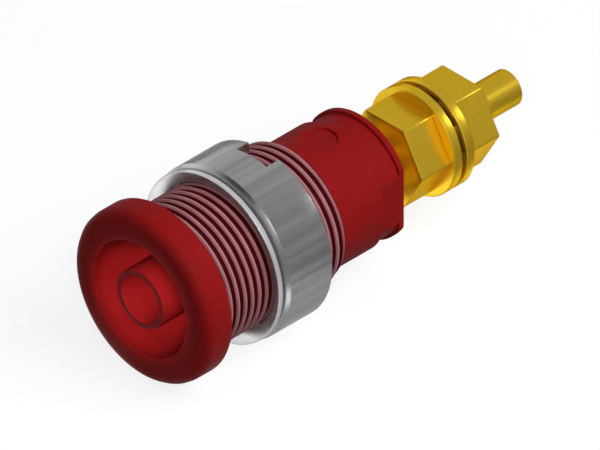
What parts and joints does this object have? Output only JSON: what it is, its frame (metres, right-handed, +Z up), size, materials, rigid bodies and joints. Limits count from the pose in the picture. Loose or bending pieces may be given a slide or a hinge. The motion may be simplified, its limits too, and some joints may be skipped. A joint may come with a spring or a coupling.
{
  "type": "safety banana socket",
  "caption": "Panel-mounted shrouded 4 mm socket with a threaded moulded body, slotted ring nut, spring washer and a gold-plated screw terminal with washers and hex nut.",
  "frame": {"origin": "on the socket's axis, in the plane of the flange face that lies on the panel", "axes": "+Y along the axis from the mouth towards the terminal, +Z up through the round recess and a slot of the ring nut, +X across the flats of the rear end"},
  "size_m": [0.0144, 0.039, 0.0144],
  "materials": {
    "housing_plastic": "moulded, satin, signal red",
    "gold_brass": "turned brass, thin gold plate",
    "nickel_plate": "turned, nickel plated",
    "spring_steel": "stamped spring steel, plated"
  },
  "bodies": {
    "socket_body": {"housing": "housing_plastic", "tip_insulator": "housing_plastic", "contact": "gold_brass"},
    "panel_washer": {"spring_washer": "nickel_plate"},
    "panel_nut": {"ring_nut": "nickel_plate"},
    "inner_disc": {"inner_washer": "gold_brass"},
    "toothed_disc": {"lock_washer": "spring_steel"},
    "outer_disc": {"outer_washer": "gold_brass"},
    "terminal_nut": {"clamp_nut": "gold_brass"}
  },
  "joints": [
    {"name": "ring_nut_travel", "type": "slide", "parent": "socket_body", "child": "panel_washer", "axis": [0, 1, 0], "range_m": [-0.0049, 0.0075]},
    {"name": "ring_nut_turn", "type": "hinge", "parent": "panel_washer", "child": "panel_nut", "pos_m": [0, 0.00821, 0], "axis": [0, 1, 0], "range_deg": [-2352.05, 3600.05]},
    {"name": "clamp_nut_travel", "type": "slide", "parent": "socket_body", "child": "outer_disc", "axis": [0, 1, 0], "range_m": [0, 0.0045]},
    {"name": "clamp_nut_turn", "type": "hinge", "parent": "outer_disc", "child": "terminal_nut", "pos_m": [0, 0.02991, 0], "axis": [0, 1, 0], "range_deg": [0, 2314.4]},
    {"name": "lock_washer_travel", "type": "slide", "parent": "socket_body", "child": "toothed_disc", "axis": [0, 1, 0], "range_m": [0, 0.003]},
    {"name": "inner_washer_travel", "type": "slide", "parent": "socket_body", "child": "inner_disc", "axis": [0, 1, 0], "range_m": [0, 0.0015]}
  ],
  "couplings": [
    {"joint": "ring_nut_turn", "follows": "ring_nut_travel", "rad_per_m": 8377.6},
    {"joint": "clamp_nut_turn", "follows": "clamp_nut_travel", "rad_per_m": 8976},
    {"joint": "lock_washer_travel", "follows": "clamp_nut_travel", "ratio": 0.66},
    {"joint": "inner_washer_travel", "follows": "clamp_nut_travel", "ratio": 0.33}
  ]
}
